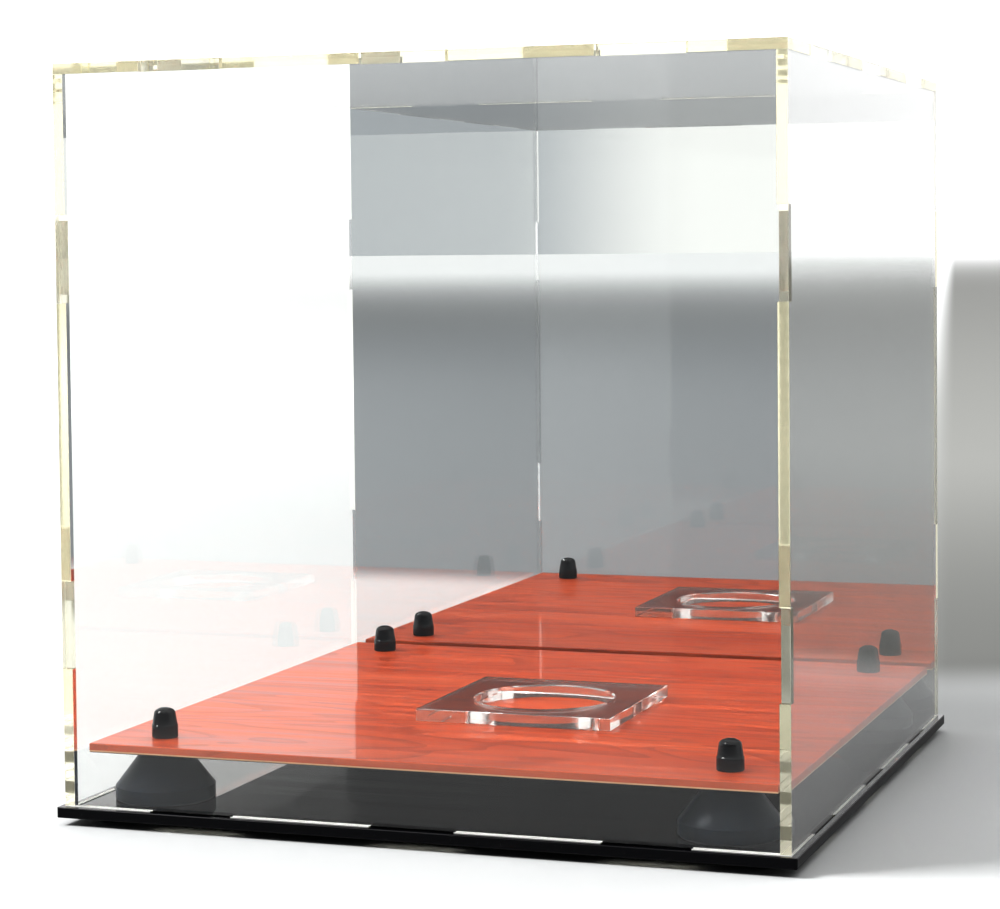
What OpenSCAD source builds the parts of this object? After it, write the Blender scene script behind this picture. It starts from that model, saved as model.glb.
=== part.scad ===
// Ball display case: a finger-jointed clear cover with a mirror back that lifts off a black
// base plate. A raised platform stands on four round risers and carries a loose ring stand.
// Millimetres. Origin at the middle of the footprint, at floor level. +Z is up, and the
// front faces -Y.

/* [Cover] */
// Outside width of the cover
case_w = 280; // [260:1:320]
// Outside depth of the cover, front to back
case_d = 280; // [260:1:320]
// Height of the cover above the base plate
cover_h = 279; // [260:1:320]
// Thickness of the acrylic panels
wall_t = 4; // [2:0.5:5]
// Width of each finger and tab
tab_w = 33; // [24:1:40]
// Distance between the fingers along the top and bottom edges
tab_pitch = 88; // [80:1:95]

/* [Base plate] */
// Thickness of the base plate
base_t = 4; // [3:0.5:6]
// How far the base plate stands out past the cover on each side
base_overhang = 2.5; // [1.5:0.5:8]
// Gap between a bottom tab and its slot, on each side
slot_gap = 0.3; // [0.2:0.05:0.6]
// Radius of the base plate's four corners
base_corner_r = 1; // [0.5:0.5:4]
// Polished chamfer on the edges of the plates
edge_chamfer = 0.3; // [0.1:0.1:0.6]

/* [Feet] */
// Diameter of the rubber feet
foot_d = 12; // [8:1:16]
// Height of the rubber feet
foot_h = 3; // [3:0.5:6]
// Distance from the base plate's edges to the middle of a foot
foot_inset = 16; // [10:1:20]

/* [Platform] */
// Thickness of the platform board
platform_t = 3.5; // [3:0.5:6]
// Distance from the cover's outside to the platform at its sides
platform_inset_x = 6.5; // [6:0.5:12]
// Distance from the cover's outside to the platform at front and back
platform_inset_y = 9; // [6:0.5:12]

/* [Risers] */
// Largest diameter of a riser
riser_d = 38; // [30:1:42]
// Diameter of a riser where it meets the platform
riser_top_d = 16; // [12:1:24]
// Height of a riser
riser_h = 19.5; // [14:0.5:30]
// Height of a riser's cylindrical foot, below its cone
riser_rim_h = 5.8; // [3:0.2:8]
// Distance from the cover's outside to the middle of a riser
riser_inset = 28.5; // [27:0.5:34]

/* [Screws and cap nuts] */
// Diameter of the machine screws
screw_d = 4; // [3:0.5:5]
// Diameter of a screw's head
head_d = 7.8; // [7:0.2:9]
// Height of a screw's head
head_h = 2.2; // [1.8:0.1:2.6]
// Diameter of a cap nut at its collar
cap_d = 10; // [9:0.5:13]
// Height of a cap nut
cap_h = 11.5; // [10:0.5:14]
// Number of grip flutes around a cap nut
cap_flutes = 12; // [8:1:14]

/* [Ring stand] */
// Side of the square ring stand
ring_size = 80; // [74:1:100]
// Thickness of the ring stand
ring_t = 5; // [4:0.5:8]
// Diameter of the hole that the ball sits in
ring_hole_d = 56; // [40:1:60]
// How far the ring stand lies to the right of the middle
ring_x = 9; // [-12:1:12]
// How far the ring stand lies behind the middle, or in front of it where negative
ring_y = -14; // [-14:1:14]

/* [Hidden] */
// Clearance of the holes around the screws, on the diameter
screw_gap = 0.5;
// Clearance of a screw in its cap nut's bore, on the diameter
thread_gap = 0.1;
// Depth of the bore in a cap nut, and how deep the screw goes into it
cap_bore_h = 8;
screw_grip = 7;
// Film of cement between two panels of the cover
cement = 0.05;
// Air under what rests loose on something: the cover's lower edges and the ring stand
rest_gap = 0.05;
// Small overlap that makes a cut break cleanly through a face
cut = 1;

base_w = case_w + 2 * base_overhang;
base_d = case_d + 2 * base_overhang;
base_z = foot_h;
floor_z = base_z + base_t;
platform_z = floor_z + riser_h;
stage_z = platform_z + platform_t;
panel_h = cover_h - wall_t;
riser_x = case_w / 2 - riser_inset;
riser_y = case_d / 2 - riser_inset;
tab_rows = [-tab_pitch, 0, tab_pitch];
finger_heights = [panel_h / 4, panel_h * 3 / 4];

// Puts its children at one riser: side is -1 for left and 1 for right, row is -1 for the
// front and 1 for the rear.
module at_riser(side, row) {
    translate([side * riser_x, row * riser_y, 0])
        children();
}

// A flat board with its underside at z = 0 and a chamfer on every long outside edge.
module chamfered_board(width, depth, thickness) {
    c = edge_chamfer;
    profile = function (span) [
        [-span / 2 + c, 0], [span / 2 - c, 0], [span / 2, c], [span / 2, thickness - c],
        [span / 2 - c, thickness], [-span / 2 + c, thickness], [-span / 2, thickness - c],
        [-span / 2, c]
    ];
    intersection() {
        rotate([90, 0, 0])
            linear_extrude(depth + 2 * cut, center = true)
                polygon(profile(width));
        rotate([90, 0, 90])
            linear_extrude(width + 2 * cut, center = true)
                polygon(profile(depth));
    }
}

// A flat outline with quarter-circle corners.
module rounded_outline(width, depth, radius) {
    square([width - 2 * radius, depth], center = true);
    square([width, depth - 2 * radius], center = true);
    for (x = [-1, 1], y = [-1, 1])
        translate([x * (width / 2 - radius), y * (depth / 2 - radius)])
            circle(radius, $fn = 48);
}

module base_plate() {
    slot_l = tab_w + 2 * slot_gap;
    slot_w = wall_t + 2 * slot_gap;
    color([0.02, 0.02, 0.025])
        translate([0, 0, base_z])
            difference() {
                intersection() {
                    chamfered_board(base_w, base_d, base_t);
                    linear_extrude(base_t)
                        rounded_outline(base_w, base_d, base_corner_r);
                }
                for (side = [-1, 1], along = tab_rows) {
                    translate([along, side * (case_d - wall_t) / 2, base_t / 2])
                        cube([slot_l, slot_w, base_t + cut], center = true);
                    translate([side * (case_w - wall_t) / 2, along, base_t / 2])
                        cube([slot_w, slot_l, base_t + cut], center = true);
                }
                for (side = [-1, 1], row = [-1, 1])
                    at_riser(side, row)
                        translate([0, 0, -cut])
                            cylinder(d = screw_d + screw_gap, h = base_t + 2 * cut, $fn = 48);
            }
}

// A stick-on rubber foot with a rounded rim, flat where it meets the shelf.
module foot(side, row) {
    rim_r = 1;
    rim = [for (a = [-90 : 15 : 0]) [foot_d / 2 - rim_r + rim_r * cos(a), rim_r + rim_r * sin(a)]];
    color([0.09, 0.09, 0.09])
        translate([side * (base_w / 2 - foot_inset), row * (base_d / 2 - foot_inset), 0])
            rotate_extrude($fn = 64)
                polygon(concat([[0, 0]], rim, [[foot_d / 2, foot_h], [0, foot_h]]));
}

// A moulded riser: a short cylinder, then a cone up to the platform, bored for its screw.
module riser(side, row) {
    bore_r = (screw_d + screw_gap) / 2;
    r = riser_d / 2;
    bevel = 0.5;
    color([0.10, 0.11, 0.125])
        at_riser(side, row)
            translate([0, 0, floor_z])
                rotate_extrude($fn = 96)
                    polygon([
                        [bore_r, 0], [r - bevel, 0], [r, bevel], [r, riser_rim_h - bevel],
                        [r - bevel, riser_rim_h], [riser_top_d / 2, riser_h], [bore_r, riser_h]
                    ]);
}

// A pan-head machine screw with a cross recess, its head under the base plate.
module screw(side, row) {
    recess_w = 1;
    recess_l = head_d * 0.55;
    recess_h = head_h * 0.6;
    dome = 0.5;
    shank_h = base_t + riser_h + platform_t + screw_grip;
    color([0.62, 0.62, 0.64])
        at_riser(side, row)
            translate([0, 0, base_z])
                difference() {
                    union() {
                        translate([0, 0, -head_h])
                            rotate_extrude($fn = 64)
                                polygon([
                                    [0, 0], [head_d / 2 - 2 * dome, 0], [head_d / 2, 2 * dome],
                                    [head_d / 2, head_h], [0, head_h]
                                ]);
                        cylinder(d = screw_d, h = shank_h, $fn = 48);
                    }
                    for (turn = [0, 90])
                        rotate([0, 0, turn])
                            translate([0, 0, -head_h])
                                cube([recess_l, recess_w, 2 * recess_h], center = true);
                }
}

module platform() {
    color([0.56, 0.24, 0.13])
        translate([0, 0, platform_z])
            difference() {
                chamfered_board(case_w - 2 * platform_inset_x, case_d - 2 * platform_inset_y,
                                platform_t);
                for (side = [-1, 1], row = [-1, 1])
                    at_riser(side, row)
                        translate([0, 0, -cut])
                            cylinder(d = screw_d + screw_gap, h = platform_t + 2 * cut, $fn = 48);
            }
}

// A cap nut: a fluted collar, a shoulder, a tapered barrel and a domed top.
module cap_nut(side, row) {
    collar_r = cap_d / 2;
    collar_h = cap_h * 0.42;
    collar_bevel = 0.3;
    shoulder_h = 0.4;
    barrel_r = collar_r * 0.95;
    barrel_h = cap_h * 0.8;
    top_r = collar_r * 0.83;
    dome_h = cap_h - barrel_h;
    flute_r = 0.9;
    flute_depth = 0.3;
    flute_z = 0.8;
    dome = [for (a = [0 : 15 : 90]) [top_r * cos(a), barrel_h + dome_h * sin(a)]];
    color([0.06, 0.06, 0.065])
        at_riser(side, row)
            translate([0, 0, stage_z])
                difference() {
                    rotate_extrude($fn = 96)
                        polygon(concat(
                            [[0, 0], [collar_r - collar_bevel, 0], [collar_r, collar_bevel],
                             [collar_r, collar_h], [barrel_r, collar_h + shoulder_h]],
                            dome));
                    translate([0, 0, -cut])
                        cylinder(d = screw_d + thread_gap, h = cap_bore_h + cut, $fn = 48);
                    for (i = [0 : cap_flutes - 1])
                        rotate([0, 0, i * 360 / cap_flutes])
                            translate([collar_r + flute_r - flute_depth, 0, flute_z])
                                cylinder(r = flute_r, h = collar_h - 2 * flute_z, $fn = 24);
                }
}

// The loose square plate with the round seat for the ball. The seat's upper rim is bevelled.
module ring_stand() {
    bevel = 0.6;
    color([0.93, 0.96, 0.95, 0.4])
        translate([ring_x, ring_y, stage_z + rest_gap])
            difference() {
                chamfered_board(ring_size, ring_size, ring_t);
                translate([0, 0, -cut])
                    cylinder(d = ring_hole_d, h = ring_t + 2 * cut, $fn = 128);
                translate([0, 0, ring_t - bevel])
                    rotate_extrude($fn = 128)
                        polygon([[0, 0], [ring_hole_d / 2, 0],
                                 [ring_hole_d / 2 + bevel + cut, bevel + cut], [0, bevel + cut]]);
            }
}

// The tabs along a wall's lower and upper edges, into the base plate and the top panel.
module wall_tabs() {
    for (along = tab_rows)
        translate([along - tab_w / 2, -base_t])
            square([tab_w, base_t + cover_h]);
}

// The plain part of a wall, up to the film of cement under the top panel.
module wall_sheet(width) {
    translate([-width / 2, rest_gap])
        square([width, panel_h - cement - rest_gap]);
}

// Front or back panel outline, seen from the front: the sheet between the side panels, two
// fingers into each side panel, and its tabs.
module end_outline() {
    wall_sheet(case_w - 2 * (wall_t + cement));
    for (height = finger_heights)
        translate([-case_w / 2, height - tab_w / 2])
            square([case_w, tab_w]);
    wall_tabs();
}

// Side panel outline, seen from the right: full depth, notched for the end panels' fingers.
module side_outline() {
    difference() {
        wall_sheet(case_d);
        for (end = [-1, 1], height = finger_heights)
            translate([end * (case_d - wall_t) / 2, height])
                square([wall_t + 2 * cement, tab_w + 2 * cement], center = true);
    }
    wall_tabs();
}

// An upright panel standing on the base plate, its front face at y = 0 and its body behind.
module end_panel() {
    translate([0, wall_t, floor_z])
        rotate([90, 0, 0])
            linear_extrude(wall_t)
                end_outline();
}

module front_panel() {
    color([0.93, 0.96, 0.95, 0.3])
        translate([0, -case_d / 2, 0])
            end_panel();
}

module mirror_panel() {
    color([0.78, 0.80, 0.82])
        translate([0, case_d / 2 - wall_t, 0])
            end_panel();
}

module side_panel() {
    translate([0, 0, floor_z])
        rotate([90, 0, 90])
            linear_extrude(wall_t)
                side_outline();
}

module left_panel() {
    color([0.93, 0.96, 0.95, 0.3])
        translate([-case_w / 2, 0, 0])
            side_panel();
}

module right_panel() {
    color([0.93, 0.96, 0.95, 0.3])
        translate([case_w / 2 - wall_t, 0, 0])
            side_panel();
}

module top_panel() {
    notch_l = tab_w + 2 * cement;
    notch_w = wall_t + 2 * cement;
    color([0.93, 0.96, 0.95, 0.3])
        translate([0, 0, floor_z + panel_h])
            linear_extrude(wall_t)
                difference() {
                    square([case_w, case_d], center = true);
                    for (side = [-1, 1], along = tab_rows) {
                        translate([along, side * (case_d - wall_t) / 2])
                            square([notch_l, notch_w], center = true);
                        translate([side * (case_w - wall_t) / 2, along])
                            square([notch_w, notch_l], center = true);
                    }
                }
}

base_plate();
foot(-1, -1);  // foot_front_left
foot(1, -1);  // foot_front_right
foot(-1, 1);  // foot_rear_left
foot(1, 1);  // foot_rear_right
riser(-1, -1);  // riser_front_left
riser(1, -1);  // riser_front_right
riser(-1, 1);  // riser_rear_left
riser(1, 1);  // riser_rear_right
screw(-1, -1);  // screw_front_left
screw(1, -1);  // screw_front_right
screw(-1, 1);  // screw_rear_left
screw(1, 1);  // screw_rear_right
platform();
cap_nut(-1, -1);  // cap_nut_front_left
cap_nut(1, -1);  // cap_nut_front_right
cap_nut(-1, 1);  // cap_nut_rear_left
cap_nut(1, 1);  // cap_nut_rear_right
ring_stand();
front_panel();
left_panel();
right_panel();
mirror_panel();
top_panel();
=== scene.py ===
"""Ball display case: materials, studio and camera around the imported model.

Every CAD node keeps its own mesh and gets a procedural material. Metres throughout, in the
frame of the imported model: +Z up, front towards -Y, origin on the floor under the case.
"""
import math

import bpy
from mathutils import Matrix, Vector


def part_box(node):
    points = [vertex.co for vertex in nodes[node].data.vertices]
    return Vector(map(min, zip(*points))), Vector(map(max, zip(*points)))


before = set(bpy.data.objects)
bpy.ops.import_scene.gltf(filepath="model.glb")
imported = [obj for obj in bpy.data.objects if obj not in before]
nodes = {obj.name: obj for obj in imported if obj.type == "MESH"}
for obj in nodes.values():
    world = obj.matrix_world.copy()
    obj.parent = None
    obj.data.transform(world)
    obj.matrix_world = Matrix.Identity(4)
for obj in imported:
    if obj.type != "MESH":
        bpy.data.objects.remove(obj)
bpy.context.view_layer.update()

CORNERS = ("front_left", "front_right", "rear_left", "rear_right")
ACRYLIC_IOR = 1.49
# Spacing and width of the tabs that stand in the base plate's slots.
TAB_PITCH = 0.088
TAB_WIDTH = 0.033
# A normal component above this means that the face looks along that axis.
SQUARE_ON = 0.8
# Turn of the view round the vertical: the camera stands to the right of the front.
VIEW_TURN = math.radians(19.41)


# ---------------------------------------------------------------- node helpers

class Graph:
    """The node tree of a material or world, with short calls for the nodes they share."""

    def __init__(self, owner):
        owner.use_nodes = True
        self.owner = owner
        self.tree = owner.node_tree
        self.coords = self.tree.nodes.new("ShaderNodeTexCoord")

    def feed(self, socket, value):
        """Links value to the socket if it's a node's output, and otherwise sets it."""
        if isinstance(value, bpy.types.NodeSocket):
            self.tree.links.new(value, socket)
        else:
            socket.default_value = value

    def set(self, **values):
        """Sets the shader's sockets: base_color=... goes to the socket Base Color."""
        shader = self.tree.nodes["Principled BSDF"]
        for key, value in values.items():
            socket = key.replace("_", " ").title().replace("Ior", "IOR")
            self.feed(shader.inputs[socket], value)

    def math(self, operation, a, b=0.0):
        node = self.tree.nodes.new("ShaderNodeMath")
        node.operation = operation
        self.feed(node.inputs[0], a)
        self.feed(node.inputs[1], b)
        return node.outputs[0]

    def every(self, *masks):
        """1 where all the masks are 1."""
        product = masks[0]
        for mask in masks[1:]:
            product = self.math("MULTIPLY", product, mask)
        return product

    def span(self, value, low, high, out_low=0.0, out_high=1.0):
        """Maps low..high smoothly to out_low..out_high."""
        node = self.tree.nodes.new("ShaderNodeMapRange")
        node.interpolation_type = "SMOOTHSTEP"
        self.feed(node.inputs["Value"], value)
        node.inputs["From Min"].default_value = low
        node.inputs["From Max"].default_value = high
        node.inputs["To Min"].default_value = out_low
        node.inputs["To Max"].default_value = out_high
        return node.outputs["Result"]

    def blend(self, factor, a, b):
        """Mixes two colours."""
        node = self.tree.nodes.new("ShaderNodeMix")
        node.data_type = "RGBA"
        self.feed(node.inputs[0], factor)
        self.feed(node.inputs[6], a)
        self.feed(node.inputs[7], b)
        return node.outputs[2]

    def blend_value(self, factor, a, b):
        """Mixes two numbers."""
        node = self.tree.nodes.new("ShaderNodeMix")
        node.data_type = "FLOAT"
        self.feed(node.inputs[0], factor)
        self.feed(node.inputs[2], a)
        self.feed(node.inputs[3], b)
        return node.outputs[0]

    def stretched(self, scale):
        """Object coordinates scaled by (x, y, z)."""
        node = self.tree.nodes.new("ShaderNodeMapping")
        node.inputs["Scale"].default_value = scale
        self.tree.links.new(self.coords.outputs["Object"], node.inputs["Vector"])
        return node.outputs["Vector"]

    def noise(self, scale, detail=3.0, roughness=0.5, vector=None, distortion=0.0):
        node = self.tree.nodes.new("ShaderNodeTexNoise")
        node.inputs["Scale"].default_value = scale
        node.inputs["Detail"].default_value = detail
        node.inputs["Roughness"].default_value = roughness
        node.inputs["Distortion"].default_value = distortion
        self.tree.links.new(vector or self.coords.outputs["Object"], node.inputs["Vector"])
        return node.outputs["Fac"]

    def bump(self, height, distance):
        node = self.tree.nodes.new("ShaderNodeBump")
        node.inputs["Distance"].default_value = distance
        self.feed(node.inputs["Height"], height)
        return node.outputs["Normal"]

    def part(self, output, axis):
        """One axis of a texture coordinate."""
        node = self.tree.nodes.new("ShaderNodeSeparateXYZ")
        self.tree.links.new(self.coords.outputs[output], node.inputs[0])
        return node.outputs["XYZ".index(axis)]

    def facing(self, axis):
        """The surface normal's component along an object axis, -1 to 1."""
        return self.part("Normal", axis)

    def place(self, axis):
        """The point's position along an object axis, in metres."""
        return self.part("Object", axis)


def new_graph(name):
    return Graph(bpy.data.materials.new(name))


def dress(node_names, material):
    for name in node_names:
        mesh = nodes[name].data
        mesh.materials.clear()
        mesh.materials.append(material)


# ---------------------------------------------------------------- materials

def cut_edge_mask(g, axis):
    """1 on the cut edges of a sheet whose broad faces look along axis, 0 on those faces."""
    return g.math("LESS_THAN", g.math("ABSOLUTE", g.facing(axis)), SQUARE_ON)


def outside_mask(g):
    """1 on the outside of the cover, 0 on the faces cemented together inside its joints."""
    margin = 0.0002
    low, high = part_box("top_panel")
    mask = g.math("LESS_THAN", g.place("Z"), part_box("base_plate")[1][2] + margin)
    for axis, lo, hi in zip("XYZ", low, high):
        mask = g.math("MAXIMUM", mask, g.math("GREATER_THAN", g.place(axis), hi - margin))
        if axis != "Z":
            mask = g.math("MAXIMUM", mask, g.math("LESS_THAN", g.place(axis), lo + margin))
    return mask


def lower_edge_mask(g, along):
    """1 on a wall's lower edge and a thin strip just above it, between the tabs, where a white
    highlight line is painted.
    """
    strip_h = 0.0003
    low_down = g.math("LESS_THAN", g.place("Z"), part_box("base_plate")[1][2] + strip_h)
    from_tab = g.math("PINGPONG", g.place(along), TAB_PITCH / 2)
    return g.every(low_down, g.math("GREATER_THAN", from_tab, TAB_WIDTH / 2))


def clear_acrylic(name, axis, edge_color, edge_clearness, cemented):
    """Polished clear sheet whose broad faces look along axis, with pale, polished cut edges and, on
    walls, a painted white highlight line along the lower edge.
    """
    # The painted highlight line along a wall's lower edge: white, nearly opaque and matte.
    highlight_line_white = (0.98, 0.98, 0.95, 1)
    highlight_line_clearness = 0.05
    highlight_line_rough = 0.5
    g = new_graph(name)
    edge = cut_edge_mask(g, axis)
    highlight_line = 0.0
    if cemented:
        edge = g.every(edge, outside_mask(g))
    # On the walls, the lower edge between the tabs gets the painted highlight line.
    if axis != "Z":
        highlight_line = lower_edge_mask(g, "Y" if axis == "X" else "X")
        edge = g.math("MAXIMUM", edge, highlight_line)
    smear = g.span(g.noise(9.0, detail=4.0, distortion=0.8), 0.52, 0.75)
    dust = g.span(g.noise(900.0, detail=1.0), 0.70, 0.80)
    face_rough = g.math("ADD", g.math("MULTIPLY", smear, 0.004), g.math("MULTIPLY", dust, 0.02))
    striation = g.noise(400.0, detail=2.0)
    tint = g.blend(g.noise(2.5, detail=1.0), (0.985, 0.992, 0.985, 1), (0.995, 0.995, 0.985, 1))
    shaded = tuple(0.97 * c for c in edge_color[:3]) + (1,)
    polished = g.blend(striation, edge_color, shaded)
    polished_rough = g.span(striation, 0.3, 0.7, 0.03, 0.09)
    edge_base = g.blend(highlight_line, polished, highlight_line_white)
    edge_rough = g.blend_value(highlight_line, polished_rough, highlight_line_rough)
    edge_clear = g.blend_value(highlight_line, edge_clearness, highlight_line_clearness)
    g.set(
        base_color=g.blend(edge, tint, edge_base),
        roughness=g.blend_value(edge, face_rough, edge_rough),
        transmission_weight=g.blend_value(edge, 1.0, edge_clear),
        ior=ACRYLIC_IOR,
    )
    return g.owner


def mirror_acrylic():
    """Mirror sheet: silvered towards the front inside the joints, grey backing paint behind."""
    g = new_graph("mirror_acrylic")
    low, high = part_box("top_panel")
    sheet = high[2] - low[2]
    across = g.math("ABSOLUTE", g.place("X"))
    inside = g.math("LESS_THAN", across, high[0] - sheet)
    below_top = g.math("LESS_THAN", g.place("Z"), low[2])
    silvered = g.every(inside, below_top, g.math("LESS_THAN", g.facing("Y"), -SQUARE_ON))
    back = g.math("GREATER_THAN", g.facing("Y"), SQUARE_ON)
    edge = g.math("SUBTRACT", 1.0, g.math("MAXIMUM", silvered, back))
    wave = g.noise(6.0, detail=1.0)
    smear = g.span(g.noise(11.0, detail=4.0, distortion=1.0), 0.5, 0.8, 0.002, 0.012)
    peel = g.noise(700.0, detail=2.0)
    backing = g.blend(g.noise(35.0, detail=4.0), (0.30, 0.31, 0.32, 1), (0.38, 0.39, 0.40, 1))
    silver = g.blend(wave, (0.84, 0.86, 0.87, 1), (0.88, 0.89, 0.89, 1))
    g.set(
        base_color=g.blend(edge, g.blend(silvered, backing, silver), (0.93, 0.90, 0.70, 1)),
        metallic=silvered,
        roughness=g.blend_value(silvered, g.span(peel, 0.3, 0.7, 0.4, 0.55), smear),
        ior=ACRYLIC_IOR,
        normal=g.bump(g.every(peel, g.math("SUBTRACT", 1.0, silvered)), 0.00003),
    )
    return g.owner


def black_acrylic():
    """High-gloss black sheet with dust and hairline scratches; its cut edges are satin."""
    g = new_graph("black_acrylic")
    edge = cut_edge_mask(g, "Z")
    dust = g.span(g.noise(1400.0, detail=1.0), 0.72, 0.80)
    smear = g.span(g.noise(14.0, detail=4.0, distortion=0.6), 0.5, 0.8)
    scratch = g.span(g.noise(8.0, detail=2.0, vector=g.stretched((3.0, 160.0, 3.0))), 0.74, 0.78)
    wear = g.math("ADD", g.math("MULTIPLY", smear, 0.02), g.math("MULTIPLY", dust, 0.1))
    gloss = g.math("ADD", wear, g.math("MULTIPLY", scratch, 0.06))
    g.set(
        base_color=g.blend(dust, (0.003, 0.003, 0.004, 1), (0.02, 0.02, 0.02, 1)),
        roughness=g.blend_value(edge, gloss, g.span(smear, 0.0, 1.0, 0.35, 0.5)),
        specular_ior_level=g.blend_value(edge, 0.5, 0.12),
        ior=ACRYLIC_IOR,
        normal=g.bump(scratch, 0.00002),
    )
    return g.owner


def moulded_black(name, color, low_rough, high_rough, shine):
    """Injection-moulded black plastic with a faint orange peel and handling marks."""
    g = new_graph(name)
    peel = g.noise(900.0, detail=2.0)
    mark = g.noise(60.0, detail=5.0, distortion=0.5)
    worn = tuple(1.8 * c for c in color)
    g.set(
        base_color=g.blend(g.span(mark, 0.55, 0.8), color + (1,), worn + (1,)),
        roughness=g.span(mark, 0.3, 0.75, low_rough, high_rough),
        specular_ior_level=shine,
        normal=g.bump(peel, 0.00004),
    )
    return g.owner


def wood_board():
    """Reddish wood grain running from side to side under a glossy clear coat, with a painted highlight
    band low on the cut edges and painted shade on the underside.
    """
    low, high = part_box("platform")
    # The lower quarter of the board's cut edges carries a painted highlight band.
    highlight_band_share = 0.25
    highlight_band_top = low[2] + highlight_band_share * (high[2] - low[2])
    g = new_graph("wood_board")
    fibre = g.noise(6.0, detail=8.0, roughness=0.7, vector=g.stretched((1.0, 26.0, 26.0)))
    figure = g.noise(2.4, detail=2.0, vector=g.stretched((0.9, 7.0, 7.0)), distortion=1.6)
    rings = g.math("FRACT", g.math("MULTIPLY", figure, 9.0))
    late = g.span(rings, 0.55, 1.0)
    pore = g.span(g.noise(9.0, detail=2.0, vector=g.stretched((6.0, 190.0, 190.0))), 0.60, 0.72)
    ground = g.blend(g.span(fibre, 0.3, 0.72), (0.60, 0.072, 0.016, 1), (0.84, 0.150, 0.040, 1))
    banded = g.blend(g.math("MULTIPLY", late, 0.3), ground, (0.20, 0.024, 0.006, 1))
    grain = g.blend(g.math("MULTIPLY", pore, 0.25), banded, (0.12, 0.016, 0.005, 1))
    side = g.math("LESS_THAN", g.math("ABSOLUTE", g.facing("Z")), 0.6)
    # Painted highlight: a pale tan band along the bottom of the cut edges.
    highlight_band = g.math("LESS_THAN", g.place("Z"), highlight_band_top)
    edge_wood = g.blend(0.5, grain, (0.62, 0.15, 0.06, 1))
    edge_face = g.blend(highlight_band, edge_wood, (0.80, 0.46, 0.25, 1))
    # Painted shade: the board's underside is painted near-black.
    shaded_underside = g.math("LESS_THAN", g.facing("Z"), -0.6)
    finished = g.blend(side, grain, edge_face)
    g.set(
        base_color=g.blend(shaded_underside, finished, (0.020, 0.013, 0.011, 1)),
        roughness=g.span(fibre, 0.3, 0.7, 0.32, 0.5),
        specular_ior_level=0.2,
        coat_weight=0.5,
        coat_roughness=0.02,
        coat_ior=1.5,
        normal=g.bump(pore, 0.00003),
        coat_normal=g.bump(g.noise(25.0, detail=1.0), 0.00001),
    )
    return g.owner


def zinc_steel():
    """Zinc-plated steel with a faintly mottled, brushed finish."""
    g = new_graph("zinc_steel")
    brushed = g.noise(120.0, detail=3.0, vector=g.stretched((1.0, 1.0, 12.0)))
    mottle = g.noise(300.0, detail=3.0)
    g.set(
        base_color=g.blend(mottle, (0.50, 0.51, 0.53, 1), (0.68, 0.68, 0.68, 1)),
        metallic=1.0,
        roughness=g.span(brushed, 0.3, 0.7, 0.22, 0.42),
        normal=g.bump(brushed, 0.00003),
    )
    return g.owner


def soft_rubber():
    """Matte black rubber with a fine grain and a little dust."""
    g = new_graph("soft_rubber")
    grain = g.noise(1600.0, detail=3.0)
    dust = g.span(g.noise(220.0, detail=5.0), 0.5, 0.8)
    g.set(
        base_color=g.blend(dust, (0.018, 0.018, 0.018, 1), (0.050, 0.048, 0.046, 1)),
        roughness=g.span(grain, 0.3, 0.7, 0.65, 0.85),
        normal=g.bump(grain, 0.00008),
    )
    return g.owner


def at_corners(prefix):
    """The names of a sub-part's four nodes."""
    return [f"{prefix}_{corner}" for corner in CORNERS]


EDGE_YELLOW = (0.98, 0.94, 0.70, 1)
EDGE_WHITE = (0.97, 0.97, 0.95, 1)
PANEL_EDGE_CLEARNESS = 0.85
RING_EDGE_CLEARNESS = 0.9
RISER_SLATE = (0.003, 0.010, 0.019)
CAP_BLACK = (0.003, 0.003, 0.004)

# The axis that each clear panel's broad faces look along.
panels = {
    "front": ("Y", ["front_panel"]),
    "sides": ("X", ["left_panel", "right_panel"]),
    "top": ("Z", ["top_panel"]),
}
for place, (axis, names) in panels.items():
    panel = clear_acrylic(f"clear_acrylic_{place}", axis, EDGE_YELLOW, PANEL_EDGE_CLEARNESS, True)
    dress(names, panel)
dress(["ring_stand"], clear_acrylic("clear_acrylic_ring", "Z", EDGE_WHITE, RING_EDGE_CLEARNESS, False))
dress(["mirror_panel"], mirror_acrylic())
dress(["base_plate"], black_acrylic())
dress(["platform"], wood_board())
dress(at_corners("riser"), moulded_black("riser_plastic", RISER_SLATE, 0.35, 0.55, 0.12))
dress(at_corners("cap_nut"), moulded_black("cap_plastic", CAP_BLACK, 0.06, 0.14, 0.25))
dress(at_corners("screw"), zinc_steel())
dress(at_corners("foot"), soft_rubber())


# ---------------------------------------------------------------- studio

def view_axes(g, x, y):
    """Distance to the viewer's right and away from the viewer."""
    cos, sin = math.cos(VIEW_TURN), math.sin(VIEW_TURN)
    rightward = g.math("ADD", g.math("MULTIPLY", x, cos), g.math("MULTIPLY", y, sin))
    forward = g.math("SUBTRACT", g.math("MULTIPLY", y, cos), g.math("MULTIPLY", x, sin))
    return rightward, forward


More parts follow.
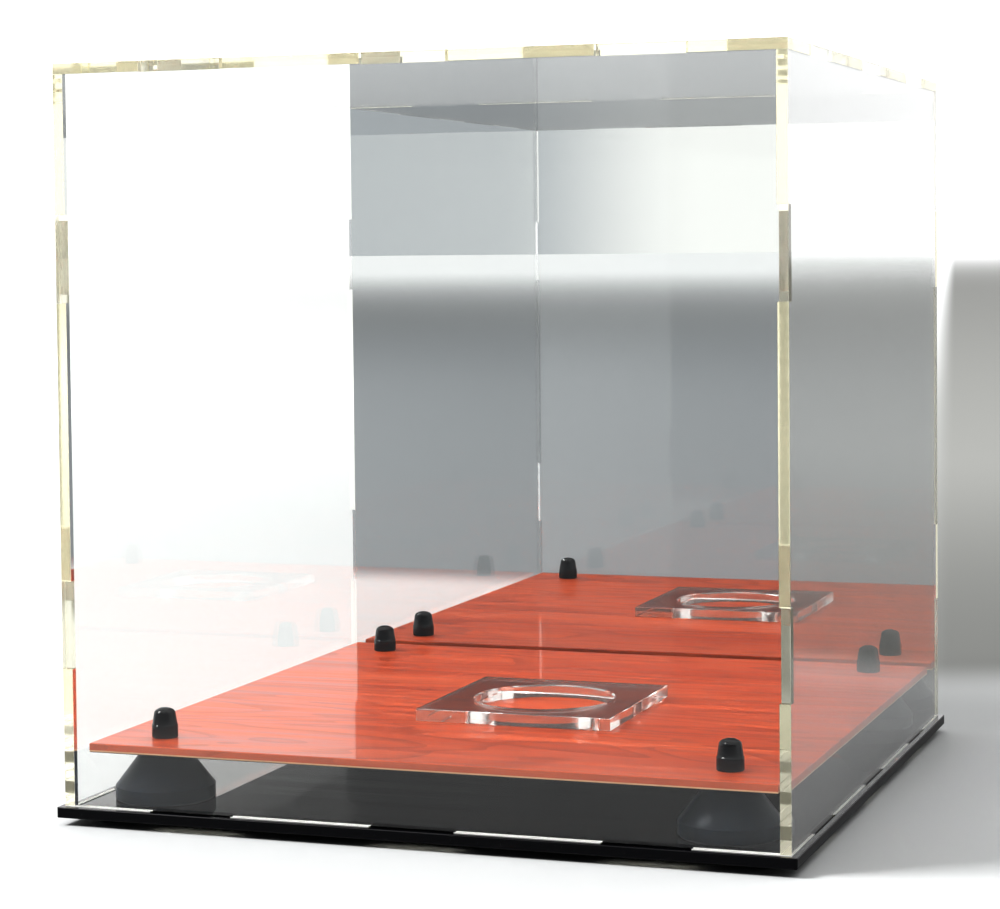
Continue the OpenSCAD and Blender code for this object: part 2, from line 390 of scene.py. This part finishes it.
def floor_material():
    """Pale matte floor: near-white round the case, painted brighter away from it where the key light
    falls off, with a painted shadow in soft grey to its right and painted shade in front.
    """
    right_lean = 0.17
    g = new_graph("studio_floor")
    y = g.place("Y")
    rightward, forward = view_axes(g, g.place("X"), y)
    aside = g.math("SUBTRACT", rightward, g.math("MULTIPLY", forward, right_lean))
    # Painted shadow to the right of the case: faint beside it, deeper behind it, fading out far away.
    beside = g.span(forward, -0.12, 0.12, 0.0, 0.25)
    behind = g.span(forward, 0.16, 0.28, 0.0, 0.75)
    distant = g.span(forward, 10.0, 40.0, 1.0, 0.0)
    right_shade = g.every(g.span(aside, 0.10, 0.17), g.math("ADD", beside, behind), distant)
    # Painted shade on the floor in front of the case, fading out far away.
    front = g.every(g.span(y, -0.36, -0.27, 1.0, 0.0), g.span(y, -20.0, -3.0))
    cloud = g.noise(0.8, detail=2.0)
    near = g.blend(cloud, (0.36, 0.367, 0.37, 1), (0.375, 0.38, 0.38, 1))
    # The pale floor is painted brighter away from the case, where the key light falls off.
    away = g.span(g.math("ABSOLUTE", forward), 0.5, 4.0)
    pale = g.blend(away, near, (0.72, 0.725, 0.725, 1))
    # The painted shadow is darkest close behind the case and lighter further back.
    shade_grey = g.blend(g.span(forward, 0.2, 1.6), (0.070, 0.072, 0.067, 1), (0.165, 0.167, 0.158, 1))
    dimmed = g.blend(front, pale, (0.10, 0.105, 0.11, 1))
    g.set(
        base_color=g.blend(right_shade, dimmed, shade_grey),
        roughness=0.7,
    )
    return g.owner


def make_floor():
    """A level square of floor, wide enough to reach the horizon."""
    half = 60.0
    mesh = bpy.data.meshes.new("studio_floor")
    corners = [(-half, -half, 0), (half, -half, 0), (half, half, 0), (-half, half, 0)]
    mesh.from_pydata(corners, [], [(0, 1, 2, 3)])
    floor = bpy.data.objects.new("studio_floor", mesh)
    bpy.context.scene.collection.objects.link(floor)
    mesh.materials.append(floor_material())


def make_world():
    """A white room: bright behind and overhead, dimmer towards the front."""
    world = bpy.data.worlds.new("studio")
    bpy.context.scene.world = world
    g = Graph(world)
    x, y, z = [g.part("Generated", axis) for axis in "XYZ"]
    low = g.blend(g.span(x, -0.34, -0.26), (0.38, 0.40, 0.42, 1), (0.80, 0.80, 0.78, 1))
    front = g.blend(g.span(z, 0.05, 0.12), low, (0.08, 0.083, 0.086, 1))
    walls = g.blend(g.span(y, -0.6, 0.0), front, (1.05, 1.05, 1.05, 1))
    sky = g.blend(g.span(z, 0.55, 0.85), walls, (1.5, 1.5, 1.5, 1))
    g.feed(g.tree.nodes["Background"].inputs["Color"], sky)


def soft_light(name, location, target, side, power):
    """A square area light of the given side and power, aimed at target."""
    light = bpy.data.lights.new(name, "AREA")
    light.size = side
    light.energy = power
    lamp = bpy.data.objects.new(name, light)
    lamp.location = location
    toward = Vector(target) - Vector(location)
    lamp.rotation_euler = toward.to_track_quat("-Z", "Y").to_euler()
    bpy.context.scene.collection.objects.link(lamp)


def make_camera():
    """A long lens at three quarters of the case's height, tilted slightly down."""
    position = (0.3455, -1.0056, 0.2165)
    down = math.radians(2.66)
    lean = math.radians(-0.573)
    camera = bpy.data.cameras.new("camera")
    camera.sensor_width = 36.0
    camera.lens = 94.1
    camera.shift_x = -0.0123
    camera.shift_y = -0.0871
    camera.clip_start = 0.01
    rig = bpy.data.objects.new("camera", camera)
    turn = Matrix.Rotation(VIEW_TURN, 4, "Z")
    tilt = Matrix.Rotation(math.pi / 2 - down, 4, "X")
    roll = Matrix.Rotation(lean, 4, "Z")
    rig.matrix_world = Matrix.Translation(position) @ turn @ tilt @ roll
    bpy.context.scene.collection.objects.link(rig)
    bpy.context.scene.camera = rig


make_floor()
make_world()
soft_light("key", (-3.7, -1.9, 4.0), (0.0, 0.0, 0.1), 1.8, 500.0)
make_camera()
scene = bpy.context.scene
scene.view_settings.view_transform = "Standard"
scene.view_settings.look = "High Contrast"
scene.cycles.max_bounces = 64
scene.cycles.transmission_bounces = 64
scene.cycles.glossy_bounces = 32
